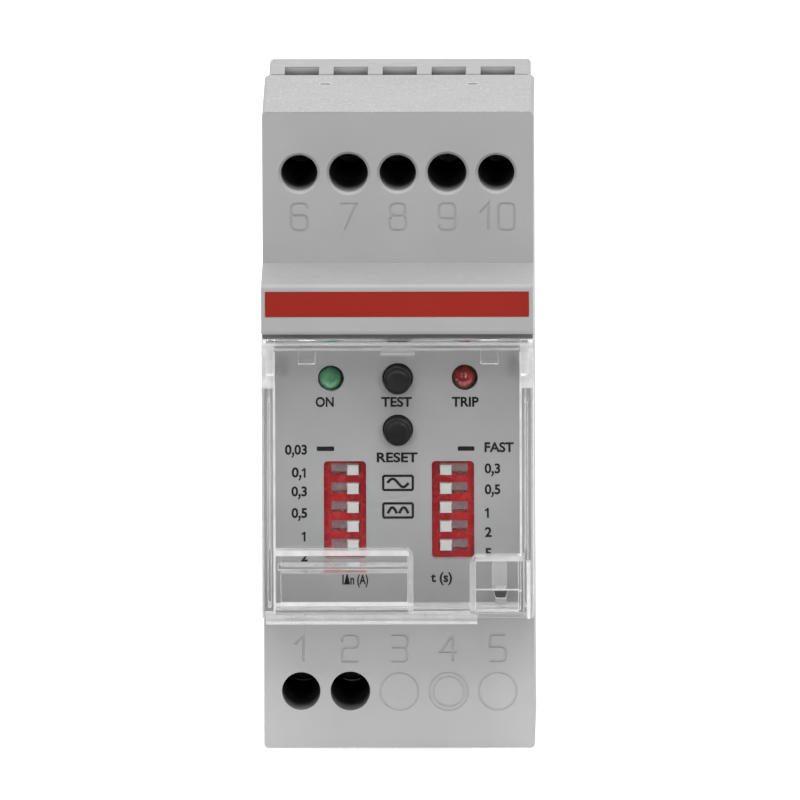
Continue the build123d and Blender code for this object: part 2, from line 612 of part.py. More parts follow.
def dip_switch(side, x, z):
    """A five-way slide switch block and its five sliders. The sliders stand at their inner ends."""
    inward = 1 if side == "left" else -1
    rows = [z + SLOT_SHIFT[1] + DIP_PITCH * (2 - i) for i in range(5)]
    slot_x = x + SLOT_SHIFT[0]
    half_x, half_z = DIP_BODY[0] / 2, DIP_BODY[1] / 2
    with BuildPart() as block:
        box(x - half_x, x + half_x, z - half_z, z + half_z, FRONT_BOARD_FACE, DIP_FACE)
        chamfer(block.edges().filter_by(Axis.Z), length=0.3)
        for row in rows:
            half = SLOT_LENGTH / 2
            low, high = row - SLOT_HEIGHT / 2, row + SLOT_HEIGHT / 2
            box(slot_x - half, slot_x + half, low, high, SLOT_FLOOR, DIP_FACE + 1, Mode.SUBTRACT)
    save(block.part, f"dip_body_{side}")
    slider_x = slot_x + inward * (SLOT_LENGTH / 2 - SLIDER[0] / 2 - 0.05)
    for i, row in enumerate(rows):
        with BuildPart() as slider:
            low, high = row - SLIDER[1] / 2, row + SLIDER[1] / 2
            left, right = slider_x - SLIDER[0] / 2, slider_x + SLIDER[0] / 2
            box(left, right, low, high, SLOT_FLOOR + 0.1, SLIDER_TOP)
            fillet(slider.faces().sort_by(Axis.Y)[0].edges(), radius=0.15)
        save(slider.part, f"dip_slider_{side}_{i + 1}")


for side, (x, z) in DIPS.items():
    dip_switch(side, x, z)

# ---------------------------------------------------------------- lamps
LED_TOP = PANEL + 0.6
LED_FLANGE = LED_TOP - 5.3

for name, (hole_x, hole_z) in LEDS.items():
    x, z = hole_x + LED_SAG[0], hole_z + LED_SAG[1]
    with BuildPart() as lamp:
        with BuildSketch(Plane(origin=(x, 0, z), x_dir=(1, 0, 0), z_dir=(0, 0, 1))):
            with BuildLine():
                straight = LED_TOP - LED_RADIUS
                Line((0, -LED_FLANGE), (1.9, -LED_FLANGE))
                Line((1.9, -LED_FLANGE), (1.9, -LED_FLANGE - 1.0))
                Line((1.9, -LED_FLANGE - 1.0), (LED_RADIUS, -LED_FLANGE - 1.0))
                Line((LED_RADIUS, -LED_FLANGE - 1.0), (LED_RADIUS, -straight))
                RadiusArc((LED_RADIUS, -straight), (0, -LED_TOP), LED_RADIUS)
                Line((0, -LED_TOP), (0, -LED_FLANGE))
            make_face()
        revolve(axis=Axis((x, 0, z), (0, 1, 0)))
        for lead_x in (x - 1.27, x + 1.27):
            box(lead_x - 0.25, lead_x + 0.25, z - 0.25, z + 0.25, FRONT_BOARD_FACE, LED_FLANGE + 0.2)
    save(lamp.part, name)

# ---------------------------------------------------------------- push-buttons
SWITCH_HALF = 3.4
SWITCH_FRONT = 51.3
SWITCH_FLOOR = 47.0
SHAFT_RADIUS = 1.7
COLLAR_RADIUS = 2.3
COLLAR_FRONT = SWITCH_FRONT - 0.9
BUTTON_SPRING_RADIUS = 1.5
BUTTON_SPRING_WIRE = 0.2

for name, z in (("test", TEST_Z), ("reset", RESET_Z)):
    with BuildPart() as switch:
        box(-SWITCH_HALF, SWITCH_HALF, z - SWITCH_HALF, z + SWITCH_HALF, FRONT_BOARD_FACE, SWITCH_FRONT)
        chamfer(switch.faces().sort_by(Axis.Y)[0].edges(), length=0.3)
        rod(BUTTON_X, z, COLLAR_RADIUS + 0.2, SWITCH_FLOOR, SWITCH_FRONT - 0.8, Mode.SUBTRACT)
        rod(BUTTON_X, z, SHAFT_RADIUS + 0.08, SWITCH_FLOOR, SWITCH_FRONT + 1, Mode.SUBTRACT)
    save(switch.part, f"{name}_switch")
    with BuildPart() as button:
        rod(BUTTON_X, z, COLLAR_RADIUS, COLLAR_FRONT - 0.8, COLLAR_FRONT)
        rod(BUTTON_X, z, SHAFT_RADIUS, COLLAR_FRONT - 0.1, SWITCH_FRONT + 1.6)
        rod(BUTTON_X, z, BUTTON_RADIUS, SWITCH_FRONT + 1.5, BUTTON_FRONT)
        fillet(button.faces().sort_by(Axis.Y)[0].edges(), radius=0.55)
    save(button.part, f"{name}_button")
    coil_spring(
        f"{name}_spring",
        (BUTTON_X, -SWITCH_FLOOR - 0.02, z),
        (0, -1, 0),
        COLLAR_FRONT - 0.84 - SWITCH_FLOOR,
        BUTTON_SPRING_RADIUS,
        BUTTON_SPRING_WIRE,
        3,
    )

# ---------------------------------------------------------------- output relay
RELAY_X = -9.6
RELAY_HALF = 5.0
RELAY_Z = (-24.0, -4.0)
RELAY_FLOOR = MAIN_BOARD + BOARD
RELAY_BASE_TOP = RELAY_FLOOR + 1.2
RELAY_TOP = RELAY_FLOOR + 12.6
CASE_WALL = 0.6
COIL_F = RELAY_BASE_TOP + 4.2
COIL_FROM = RELAY_Z[0] + 3.0
COIL_TO = RELAY_Z[0] + 12.0
YOKE_FROM = RELAY_Z[0] + 1.2
YOKE_TO = RELAY_Z[0] + 13.0
ARMATURE_Z = YOKE_TO + 0.3
ARMATURE_PIVOT_F = RELAY_BASE_TOP + 8.1
CORE_RADIUS = 1.0

with BuildPart() as relay_base:
    box(RELAY_X - RELAY_HALF, RELAY_X + RELAY_HALF, *RELAY_Z, RELAY_FLOOR, RELAY_BASE_TOP)

save(relay_base.part, "relay_base")

with BuildPart() as relay_case:
    box(RELAY_X - RELAY_HALF, RELAY_X + RELAY_HALF, *RELAY_Z, RELAY_BASE_TOP, RELAY_TOP)
    fillet(relay_case.faces().sort_by(Axis.Y)[0].edges(), radius=0.5)
    inner = RELAY_HALF - CASE_WALL
    box(RELAY_X - inner, RELAY_X + inner, RELAY_Z[0] + CASE_WALL, RELAY_Z[1] - CASE_WALL,
        RELAY_BASE_TOP - 1, RELAY_TOP - CASE_WALL, Mode.SUBTRACT)

save(relay_case.part, "relay_case")

with BuildPart() as relay_coil:
    with BuildSketch(Plane.XY.offset(COIL_FROM)):
        with Locations((RELAY_X, -COIL_F)):
            Circle(3.0)
            Circle(CORE_RADIUS + 0.05, mode=Mode.SUBTRACT)
    extrude(amount=COIL_TO - COIL_FROM)
    for z in (COIL_FROM - 0.5, COIL_TO):
        with BuildSketch(Plane.XY.offset(z)):
            with Locations((RELAY_X, -COIL_F)):
                Circle(3.4)
                Circle(CORE_RADIUS + 0.05, mode=Mode.SUBTRACT)
        extrude(amount=0.5)

save(relay_coil.part, "relay_coil")

with BuildPart() as relay_yoke:
    box(RELAY_X - 3.5, RELAY_X + 3.5, YOKE_FROM, YOKE_TO, RELAY_BASE_TOP + 7.7, RELAY_BASE_TOP + 8.7)
    box(RELAY_X - 3.5, RELAY_X + 3.5, YOKE_FROM, YOKE_FROM + 1.0, RELAY_BASE_TOP, RELAY_BASE_TOP + 8.0)
    with BuildSketch(Plane.XY.offset(YOKE_FROM + 0.5)):
        with Locations((RELAY_X, -COIL_F)):
            Circle(CORE_RADIUS)
    extrude(amount=YOKE_TO - YOKE_FROM - 0.8)

save(relay_yoke.part, "relay_yoke")

with BuildPart() as relay_armature:
    box(RELAY_X - 3.2, RELAY_X + 3.2, ARMATURE_Z, ARMATURE_Z + 0.8,
        RELAY_BASE_TOP + 0.6, ARMATURE_PIVOT_F + 0.5)
    with BuildSketch(Plane.XY.offset(ARMATURE_Z + 0.7)):
        with Locations((RELAY_X, -RELAY_BASE_TOP - 1.8)):
            Circle(0.8)
    extrude(amount=0.6)

save(relay_armature.part, "relay_armature")

with BuildPart() as relay_contacts:
    rest_z = ARMATURE_Z + 1.4
    box(RELAY_X - 1.5, RELAY_X + 1.5, rest_z, rest_z + 0.4, RELAY_BASE_TOP, RELAY_BASE_TOP + 3.4)
    closed_z = ARMATURE_Z - 0.9
    box(RELAY_X - 1.5, RELAY_X + 1.5, closed_z - 0.4, closed_z, RELAY_BASE_TOP, RELAY_BASE_TOP + 0.7)

save(relay_contacts.part, "relay_contacts")

# ---------------------------------------------------------------- supply and control parts
CORE_X = 4.9
CORE_Z = (-23.0, -6.0)
CORE_F = (RELAY_FLOOR + 0.4, RELAY_FLOOR + 14.4)

with BuildPart() as transformer_core:
    box(CORE_X - 3.5, CORE_X + 3.5, *CORE_Z, *CORE_F)
    core_middle = sum(CORE_Z) / 2
    for side in (1, -1):
        window = sorted((core_middle + side * 2.7, core_middle + side * 5.9))
        box(CORE_X - 4, CORE_X + 4, *window, CORE_F[0] + 2.8, CORE_F[1] - 2.8, Mode.SUBTRACT)

save(transformer_core.part, "transformer_core")

with BuildPart() as transformer_winding:
    winding_z = (core_middle - 5.7, core_middle + 5.7)
    box(CORE_X - 6.3, CORE_X + 6.3, *winding_z, CORE_F[0] + 3.0, CORE_F[1] - 3.0)
    fillet(transformer_winding.edges().filter_by(Axis.Y), radius=1.5)
    leg_z = (core_middle - 2.8, core_middle + 2.8)
    box(CORE_X - 3.6, CORE_X + 3.6, *leg_z, *CORE_F, Mode.SUBTRACT)

save(transformer_winding.part, "transformer_winding")

with BuildPart() as electrolytic_capacitors:
    for x in (-10.2, -1.2):
        rod(x, 3.4, 4.0, RELAY_FLOOR, RELAY_FLOOR + 12.0)
    fillet(electrolytic_capacitors.faces().group_by(Axis.Y)[0].edges(), radius=0.5)

save(electrolytic_capacitors.part, "electrolytic_capacitors")

with BuildPart() as film_capacitor:
    box(8.4, 13.6, -3.6, 9.4, RELAY_FLOOR, RELAY_FLOOR + 11.0)
    fillet(film_capacitor.edges().filter_by(Axis.Y), radius=0.5)

save(film_capacitor.part, "film_capacitor")

with BuildPart() as controller_chip:
    box(-9.4, 9.4, 18.8, 25.2, RELAY_FLOOR + 0.6, RELAY_FLOOR + 3.9)
    for i in range(7):
        x = PIN_PITCH * (i - 3)
        for z in (18.6, 25.4):
            box(x - 0.25, x + 0.25, z - 0.25, z + 0.25, RELAY_FLOOR, RELAY_FLOOR + 2.0)

save(controller_chip.part, "controller_chip")


def axial_parts(name, centres, z, radius, length, wire):
    """A row of resistors or diodes that lie along X on bent leads."""
    with BuildPart() as row:
        height = RELAY_FLOOR + radius + 0.3
        for x in centres:
            with BuildSketch(Plane.YZ.offset(x - length / 2)):
                with Locations((-height, z)):
                    Circle(radius)
            extrude(amount=length)
            with BuildSketch(Plane.YZ.offset(x - length / 2 - 1.2)):
                with Locations((-height, z)):
                    Circle(wire)
            extrude(amount=length + 2.4)
            for lead_x in (x - length / 2 - 1.0, x + length / 2 + 1.0):
                rod(lead_x, z, wire, RELAY_FLOOR, height)
    save(row.part, name)


axial_parts("resistors", (-9.8, 0.0, 9.0), 11.4, 1.2, 6.0, 0.3)
axial_parts("diodes", (-1.6, 4.9, 11.4), -26.2, 0.95, 3.9, 0.3)
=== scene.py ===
"""Looks of a two-module residual current relay: housing, clear cover, setting panel, terminals.

Everything is in the CAD frame: the front faces -Y, +Z is up, +X is to the right. A number times MM is in
metres, as Blender needs it. Tables and functions that take millimetres say so.
"""

import json
from math import cos, pi, radians, sin

import bmesh
import bpy
from mathutils import Matrix, Vector


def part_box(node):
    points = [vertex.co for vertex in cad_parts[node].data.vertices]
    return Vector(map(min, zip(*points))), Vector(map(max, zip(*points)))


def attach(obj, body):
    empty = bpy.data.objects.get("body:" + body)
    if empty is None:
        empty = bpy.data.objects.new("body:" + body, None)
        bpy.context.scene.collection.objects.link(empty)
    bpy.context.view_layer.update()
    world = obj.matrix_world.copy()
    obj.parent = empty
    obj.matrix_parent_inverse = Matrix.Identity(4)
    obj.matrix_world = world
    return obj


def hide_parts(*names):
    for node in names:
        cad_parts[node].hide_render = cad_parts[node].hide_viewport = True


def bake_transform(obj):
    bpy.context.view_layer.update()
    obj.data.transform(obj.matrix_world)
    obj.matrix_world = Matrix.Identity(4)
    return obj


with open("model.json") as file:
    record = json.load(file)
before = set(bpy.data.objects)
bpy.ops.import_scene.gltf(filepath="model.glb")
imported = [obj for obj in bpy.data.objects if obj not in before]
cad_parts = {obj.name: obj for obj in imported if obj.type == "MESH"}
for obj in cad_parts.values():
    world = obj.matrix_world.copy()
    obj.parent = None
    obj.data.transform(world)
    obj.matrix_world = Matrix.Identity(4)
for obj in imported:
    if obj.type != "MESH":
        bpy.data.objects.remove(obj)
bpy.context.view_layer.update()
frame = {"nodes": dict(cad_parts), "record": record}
NODES = frame["nodes"]
MM = 0.001

scene = bpy.context.scene
scene.view_settings.view_transform = "Standard"

# ---------------------------------------------------------------- places on the relay, in millimetres
SHOULDER = -44.0  # y of the front face above and below the nose
PANEL = -53.5  # y of the setting panel
PANEL_MIDDLE, PANEL_REACH = -3.4, 19.2  # z of the panel's middle, and half its height
INBOARD = 17.8  # x that stays clear of the side faces
COVER_SKIN = (-59.9, -59.8)  # y where the cover's front skin begins
END_SKIN = (42.6, 42.7)  # height where the end faces' skin begins
FRONT_SHELL = -33.0  # y of the middle of the front shell
SNAP_X, SNAP_Y = 9.75, -23.0  # snap windows in the end faces
SEAM_Y = -15.9  # joint between the two shells
NOTCH_Y = -13.1  # row of wire notches
WELL_ROW, WELL_REACH = 34.8, 3.7  # height of the rows of screw wells, and half a row's height
ROW_HALF = 16.2  # half the width of a row of wells or notches
# painted shade: the wells go from their mouth to fully dark
WELL_MOUTH, WELL_DARK = -43.9, -39.0  # y at the wells' mouth, and where they are fully dark
SLIDE_FLOOR = (-50.2, -49.7)  # y between the switch blocks' faces and the floor of their slots

# ---------------------------------------------------------------- camera, in metres unless MM is named
CAMERA_DISTANCE = 5.0
CAMERA_ELEVATION = radians(10.6)
CAMERA_AZIMUTH = radians(0.6)
CAMERA_ROLL = radians(-0.2)
FIELD = 105.7 * MM
SENSOR = 36.0
AIM = Vector((0.2 * MM, SHOULDER * MM, 4.06 * MM))


def make_camera():
    """A telephoto camera in front of the relay, a little above it."""
    data = bpy.data.cameras.new("camera")
    data.sensor_width = SENSOR
    data.lens = SENSOR * CAMERA_DISTANCE / FIELD
    data.clip_start = 0.1
    data.clip_end = 30.0
    camera = bpy.data.objects.new("camera", data)
    back = Vector((0.0, -cos(CAMERA_ELEVATION), sin(CAMERA_ELEVATION)))
    back.rotate(Matrix.Rotation(CAMERA_AZIMUTH, 3, "Z"))
    camera.location = AIM + back * CAMERA_DISTANCE
    look = (-back).to_track_quat("-Z", "Y").to_matrix()
    camera.rotation_euler = (look @ Matrix.Rotation(CAMERA_ROLL, 3, "Z")).to_euler()
    scene.collection.objects.link(camera)
    scene.camera = camera


# ---------------------------------------------------------------- lights and floor, in metres
LIT_POINT = Vector((0.0, -0.03, 0.0))
LIGHTS = (
    # name, place, size, watts
    ("overhead", (0.0, -0.55, 1.0), (1.3, 0.8), 13.6),
    ("front_left", (-0.5, -1.4, 0.3), (0.26, 0.26), 5.2),
    ("front_right", (0.5, -1.4, 0.3), (0.26, 0.26), 5.2),
)
SKY_FRONT, SKY_BACK = 0.07, 1.0  # strength of the surroundings
SKY_TURN = (-0.1, 0.25)  # y of a direction, where the one strength gives way to the other

FLOOR_SIDE = 4.0
FLOOR_FRONT = -6.0
FLOOR_BACK = 6.0
FLOOR_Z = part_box("front_shell")[0].z - 0.05 * MM
FLOOR_FADE = (-0.13, -0.1)  # y where the paper goes dark, so that the cover has little to mirror
FLOOR_GLOW = (0.34, 0.9)  # its own light, under the relay and behind it
FLOOR_GLOW_Y = (-0.02, 0.3)


def area_light(name, spot, size, watts):
    """A soft box that faces the relay."""
    data = bpy.data.lights.new(name, "AREA")
    data.shape = "RECTANGLE"
    data.size, data.size_y = size
    data.energy = watts
    light = bpy.data.objects.new(name, data)
    light.location = spot
    light.rotation_euler = (LIT_POINT - Vector(spot)).to_track_quat("-Z", "Y").to_euler()
    scene.collection.objects.link(light)


def make_lights():
    """A large soft box above, two small ones in front, and surroundings that are dim in front."""
    for light in LIGHTS:
        area_light(*light)
    world = bpy.data.worlds.new("studio")
    world.use_nodes = True
    tree = world.node_tree
    background = tree.nodes["Background"]
    along = tree.nodes.new("ShaderNodeSeparateXYZ")
    tree.links.new(tree.nodes.new("ShaderNodeTexCoord").outputs["Generated"], along.inputs[0])
    strength = spread(tree, along.outputs[1], SKY_FRONT, SKY_BACK, *SKY_TURN)
    tree.links.new(strength, background.inputs["Strength"])
    background.inputs["Color"].default_value = (1.0, 1.0, 1.0, 1.0)
    scene.world = world


def make_floor():
    """A pale floor under the relay and behind it, which goes dark a little way in front."""
    mesh = bpy.data.meshes.new("floor")
    corners = [
        (-FLOOR_SIDE, FLOOR_FRONT, FLOOR_Z), (FLOOR_SIDE, FLOOR_FRONT, FLOOR_Z),
        (FLOOR_SIDE, FLOOR_BACK, FLOOR_Z), (-FLOOR_SIDE, FLOOR_BACK, FLOOR_Z),
    ]
    mesh.from_pydata(corners, [], [(0, 1, 2, 3)])
    floor = bpy.data.objects.new("floor", mesh)
    scene.collection.objects.link(floor)
    mat, tree, shader = new_material("floor_paper")
    paper = tint(tree, spread(tree, noise(tree, 60.0), 0.0, 1.0), (0.86, 0.86, 0.86), (0.9, 0.9, 0.9))
    fade = spread(tree, axes(tree)[1], 0.0, 1.0, *FLOOR_FADE)
    tree.links.new(tint(tree, fade, (0.03, 0.03, 0.03), paper), shader.inputs["Base Color"])
    shader.inputs["Roughness"].default_value = 0.9
    shader.inputs["Specular IOR Level"].default_value = 0.1
    shader.inputs["Emission Color"].default_value = (1.0, 1.0, 1.0, 1.0)
    glow = both(tree, spread(tree, axes(tree)[1], *FLOOR_GLOW, *FLOOR_GLOW_Y), fade)
    tree.links.new(glow, shader.inputs["Emission Strength"])
    floor.data.materials.append(mat)


# ---------------------------------------------------------------- material helpers
def new_material(name):
    """A material, its node tree and its Principled shader."""
    mat = bpy.data.materials.new(name)
    mat.use_nodes = True
    return mat, mat.node_tree, mat.node_tree.nodes["Principled BSDF"]


def place(tree):
    """Object coordinates, which are the frame's coordinates on all but the printed words."""
    return tree.nodes.new("ShaderNodeTexCoord").outputs["Object"]


def axes(tree):
    """The three object coordinates as values."""
    node = tree.nodes.new("ShaderNodeSeparateXYZ")
    tree.links.new(place(tree), node.inputs[0])
    return node.outputs


def noise(tree, scale, detail=2.0):
    """Noise over the surface. Scale is in features per metre."""
    node = tree.nodes.new("ShaderNodeTexNoise")
    node.inputs["Scale"].default_value = scale
    node.inputs["Detail"].default_value = detail
    tree.links.new(place(tree), node.inputs["Vector"])
    return node.outputs["Fac"]


def spread(tree, value, low, high, from_low=0.3, from_high=0.7):
    """Map one range of a value to another, clamped."""
    node = tree.nodes.new("ShaderNodeMapRange")
    node.inputs["From Min"].default_value = from_low
    node.inputs["From Max"].default_value = from_high
    node.inputs["To Min"].default_value = low
    node.inputs["To Max"].default_value = high
    tree.links.new(value, node.inputs["Value"])
    return node.outputs["Result"]


def maths(tree, operation, first, second):
    """Two values combined; the second may be a plain number."""
    node = tree.nodes.new("ShaderNodeMath")
    node.operation = operation
    tree.links.new(first, node.inputs[0])
    if isinstance(second, float):
        node.inputs[1].default_value = second
    else:
        tree.links.new(second, node.inputs[1])
    return node.outputs[0]


def both(tree, first, second):
    """The product: one where both values are one."""
    return maths(tree, "MULTIPLY", first, second)


def either(tree, first, second):
    """The larger of two values."""
    return maths(tree, "MAXIMUM", first, second)


def ramp(tree, value, low, high, start, stop):
    """A change from low to high along a coordinate, between two places in millimetres."""
    return spread(tree, value, low, high, start * MM, stop * MM)


def near(tree, value, centre, reach):
    """One where a coordinate lies within reach of a centre, both in millimetres, and nought elsewhere."""
    node = tree.nodes.new("ShaderNodeMath")
    node.operation = "COMPARE"
    tree.links.new(value, node.inputs[0])
    node.inputs[1].default_value = centre * MM
    node.inputs[2].default_value = reach * MM
    return node.outputs[0]


def window(tree, x_range, z_range):
    """One inside a rectangle of x and z, both in millimetres, and nought outside it."""
    x, _, z = axes(tree)
    inside_x = near(tree, x, (x_range[0] + x_range[1]) / 2, (x_range[1] - x_range[0]) / 2)
    inside_z = near(tree, z, (z_range[0] + z_range[1]) / 2, (z_range[1] - z_range[0]) / 2)
    return both(tree, inside_x, inside_z)


def tint(tree, value, dark, light):
    """A colour between two, by a value from 0 to 1. Either may be a node's output."""
    node = tree.nodes.new("ShaderNodeMix")
    node.data_type = "RGBA"
    tree.links.new(value, node.inputs[0])
    for socket, colour in ((node.inputs[6], dark), (node.inputs[7], light)):
        if isinstance(colour, tuple):
            socket.default_value = (*colour, 1.0)
        else:
            tree.links.new(colour, socket)
    return node.outputs[2]


def bump(tree, shader, height, strength, distance):
    """Relief from a height value. Distance is in metres."""
    node = tree.nodes.new("ShaderNodeBump")
    node.inputs["Strength"].default_value = strength
    node.inputs["Distance"].default_value = distance
    tree.links.new(height, node.inputs["Height"])
    tree.links.new(node.outputs["Normal"], shader.inputs["Normal"])


def scaled(colour, factor):
    """A colour made darker or lighter."""
    return tuple(channel * factor for channel in colour)


# ---------------------------------------------------------------- materials
def moulded(name, colour, rough, grain=5000.0, depth=8e-6, vary=0.04, metallic=0.0, gleam=0.5):
    """Moulded or plated stuff: slight colour variation, uneven gloss and a fine grain."""
    mat, tree, shader = new_material(name)
    patches = spread(tree, noise(tree, 160.0, 3.0), 0.0, 1.0)
    colour_out = tint(tree, patches, scaled(colour, 1 - vary), scaled(colour, 1 + vary))
    tree.links.new(colour_out, shader.inputs["Base Color"])
    gloss = spread(tree, noise(tree, 900.0), rough - 0.05, rough + 0.05)
    tree.links.new(gloss, shader.inputs["Roughness"])
    bump(tree, shader, noise(tree, grain), 0.6, depth)
    shader.inputs["Metallic"].default_value = metallic
    shader.inputs["Specular IOR Level"].default_value = gleam
    return mat


def housing_colour(tree, y, side, end_face):
    """Pale grey, with specks, pale snap windows and a painted shadow along the shells' joint on the end
    faces.
    """
    patches = spread(tree, noise(tree, 120.0, 3.0), 0.0, 1.0)
    plain = tint(tree, patches, (0.365, 0.367, 0.365), (0.39, 0.392, 0.39))
    specks = both(tree, spread(tree, noise(tree, 2600.0, 4.0), 0.0, 1.0, 0.56, 0.72), end_face)
    on_front_shell = near(tree, y, FRONT_SHELL, 16.0)
    snap = both(tree, both(tree, near(tree, side, SNAP_X, 0.8), near(tree, y, SNAP_Y, 1.0)), end_face)
    pale = either(tree, both(tree, specks, on_front_shell), both(tree, snap, 0.7))
    speckled = tint(tree, pale, plain, (0.62, 0.62, 0.62))
    # painted shadow: a dark line along the shells' joint on the end faces
    seam_shadow = both(tree, near(tree, y, SEAM_Y, 0.4), end_face)
    return tint(tree, seam_shadow, speckled, (0.17, 0.17, 0.17))


def housing_shade(tree, y, z, height, side):
    """How dark the painted shade makes the housing: in wells and notches, at the panel's ends, above and
    below the nose.
    """
    # painted shade down the screw wells
    in_block = both(tree, near(tree, height, WELL_ROW, WELL_REACH), near(tree, side, 0.0, ROW_HALF))
    down = both(tree, ramp(tree, y, 0.0, 1.0, WELL_MOUTH, WELL_DARK), near(tree, y, FRONT_SHELL, 14.0))
    well = both(tree, in_block, down)

    # painted shade in the wire notches, darkest deepest down
    in_row = both(tree, near(tree, y, NOTCH_Y, 3.25), near(tree, side, 0.0, ROW_HALF))
    notch = both(tree, in_row, ramp(tree, height, 0.85, 0.0, 41.5, 42.5))

    inboard = near(tree, side, 0.0, INBOARD)
    on_panel = both(tree, near(tree, y, PANEL, 0.3), inboard)
    on_panel = both(tree, on_panel, near(tree, z, PANEL_MIDDLE, PANEL_REACH))
    # painted shadow at the panel's top, under the cover's rim
    gap = both(tree, on_panel, ramp(tree, z, 0.0, 0.7, 12.8, 14.3))
    # painted shade, darker towards the panel's bottom
    low_panel = both(tree, on_panel, ramp(tree, z, 0.42, 0.0, -21.0, -6.0))

    on_shoulder = both(tree, near(tree, y, SHOULDER, 0.3), inboard)
    # painted shadow of the nose on the shoulder below it, and painted shade on the shoulder just above it
    below_nose = both(tree, ramp(tree, z, 0.0, 0.27, -34.0, -24.0), ramp(tree, z, 1.0, 0.0, -22.5, -22.0))
    above_nose = both(tree, ramp(tree, z, 0.15, 0.0, 23.0, 32.0), ramp(tree, z, 0.0, 1.0, 22.0, 22.5))
    beside_nose = both(tree, on_shoulder, either(tree, below_nose, above_nose))

    shade = well
    for part_shade in (notch, gap, low_panel, beside_nose):
        shade = either(tree, shade, part_shade)
    return shade


def housing():
    """Pale grey polycarbonate: fine grain, a coarser one on the end faces, painted shade down the wells, in
    the notches, at the panel's ends and above and below the nose.
    """
    mat, tree, shader = new_material("housing")
    x, y, z = axes(tree)
    height = maths(tree, "ABSOLUTE", z, 0.0)
    side = maths(tree, "ABSOLUTE", x, 0.0)
    end_face = ramp(tree, height, 0.0, 1.0, *END_SKIN)
    colour = housing_colour(tree, y, side, end_face)
    shade = housing_shade(tree, y, z, height, side)
    # painted shade: near black where the shade is full
    tree.links.new(tint(tree, shade, colour, (0.03, 0.03, 0.03)), shader.inputs["Base Color"])
    tree.links.new(spread(tree, noise(tree, 900.0), 0.44, 0.56), shader.inputs["Roughness"])
    fine = both(tree, noise(tree, 5200.0), 0.25)
    coarse = both(tree, both(tree, noise(tree, 2200.0, 4.0), end_face), 1.8)
    bump(tree, shader, maths(tree, "ADD", fine, coarse), 0.7, 3e-5)
    shader.inputs["Specular IOR Level"].default_value = 0.35
    return mat


MILKY_HIGHLIGHTS = (
    # painted highlight: milky parts of the cover's front where rims, walls and ribs behind it show bright,
    # in millimetres: x range, z range, how milky
    ((-17.9, -16.2), (8.6, 15.0), 0.56),
    ((16.2, 17.9), (8.6, 15.0), 0.56),
    ((-17.9, -17.6), (-22.2, 8.6), 0.35),
    ((17.6, 17.9), (-22.2, 8.6), 0.35),
    ((-16.95, -16.8), (-13.0, 8.6), 0.45),
    ((16.8, 16.95), (-13.0, 8.6), 0.45),
    ((-16.4, -16.1), (-21.3, 13.5), 0.7),
    ((16.1, 16.4), (-13.6, 13.5), 0.7),
    ((-17.9, 17.9), (14.3, 15.0), 0.4),
    ((-16.1, 16.1), (13.65, 14.0), 0.35),
    ((-2.2, 2.3), (12.9, 14.3), 0.22),
    ((-16.1, 1.5), (-13.55, -12.8), 0.78),
    ((1.3, 2.0), (-21.3, -13.2), 0.35),
    ((-16.1, 2.0), (-20.3, -19.8), 0.6),
    ((-17.4, 10.5), (-22.7, -21.4), 0.3),
    ((9.5, 10.3), (-21.0, -14.2), 0.35),
    ((10.3, 16.6), (-14.3, -13.6), 0.5),
    ((10.3, 16.4), (-18.35, -18.1), 0.5),
    ((12.4, 14.4), (-18.1, -14.3), 0.16),
    ((16.95, 17.5), (-22.4, -14.5), 0.75),
)


def milky_highlight_parts(tree):
    """How milky the cover is, a painted highlight: rims, ribs and pocket edges of its front, and nought
    behind it.
    """
    shares = [both(tree, window(tree, x_range, z_range), share) for x_range, z_range, share in MILKY_HIGHLIGHTS]
    milky_and_highlight = shares[0]
    for share in shares[1:]:
        milky_and_highlight = either(tree, milky_and_highlight, share)
    on_front = ramp(tree, axes(tree)[1], 1.0, 0.0, *COVER_SKIN)
    cloud = spread(tree, noise(tree, 450.0, 3.0), 0.8, 1.1)
    return both(tree, both(tree, milky_and_highlight, on_front), cloud)


def mixed(tree, factor, first, second):
    """Two shaders mixed by a value, or evenly where there is none."""
    mix = tree.nodes.new("ShaderNodeMixShader")
    if factor is not None:
        tree.links.new(factor, mix.inputs[0])
    tree.links.new(first.outputs[0], mix.inputs[1])
    tree.links.new(second.outputs[0], mix.inputs[2])
    return mix


def clear(name, colour, rough, white, passing):
    """Clear polycarbonate, a little white all over, or only in its milky parts, a painted highlight, where
    white is nought.

    Light and shade go straight through it to the panel and back, less what passing leaves out.
    """
    mat, tree, shader = new_material(name)
    shader.inputs["Base Color"].default_value = (*colour, 1.0)
    shader.inputs["Transmission Weight"].default_value = 1.0
    shader.inputs["IOR"].default_value = 1.46
    gloss = spread(tree, noise(tree, 300.0, 3.0), rough, rough + 0.03)
    tree.links.new(gloss, shader.inputs["Roughness"])
    bump(tree, shader, noise(tree, 400.0), 0.05, 2e-6)
    skin = tree.nodes.new("ShaderNodeBsdfDiffuse")
    skin.inputs["Color"].default_value = (1.0, 1.0, 1.0, 1.0)
    passed = tree.nodes.new("ShaderNodeBsdfTranslucent")
    passed.inputs["Color"].default_value = (1.0, 1.0, 1.0, 1.0)
    frost = mixed(tree, None, skin, passed)
    if white:
        milky_and_highlight = spread(tree, noise(tree, 350.0), white * 0.85, white * 1.15)
    else:
        # the milky parts are a painted highlight on the front, where rims and walls behind it show bright
        milky_and_highlight = milky_highlight_parts(tree)
    frosted = mixed(tree, milky_and_highlight, shader, frost)
    through = tree.nodes.new("ShaderNodeBsdfTransparent")
    through.inputs["Color"].default_value = (passing, passing, passing, 1.0)
    path = tree.nodes.new("ShaderNodeLightPath")
    straight = either(tree, path.outputs["Is Shadow Ray"], path.outputs["Is Diffuse Ray"])
    surface = mixed(tree, straight, frosted, through)
    tree.links.new(surface.outputs[0], tree.nodes["Material Output"].inputs["Surface"])
    return mat


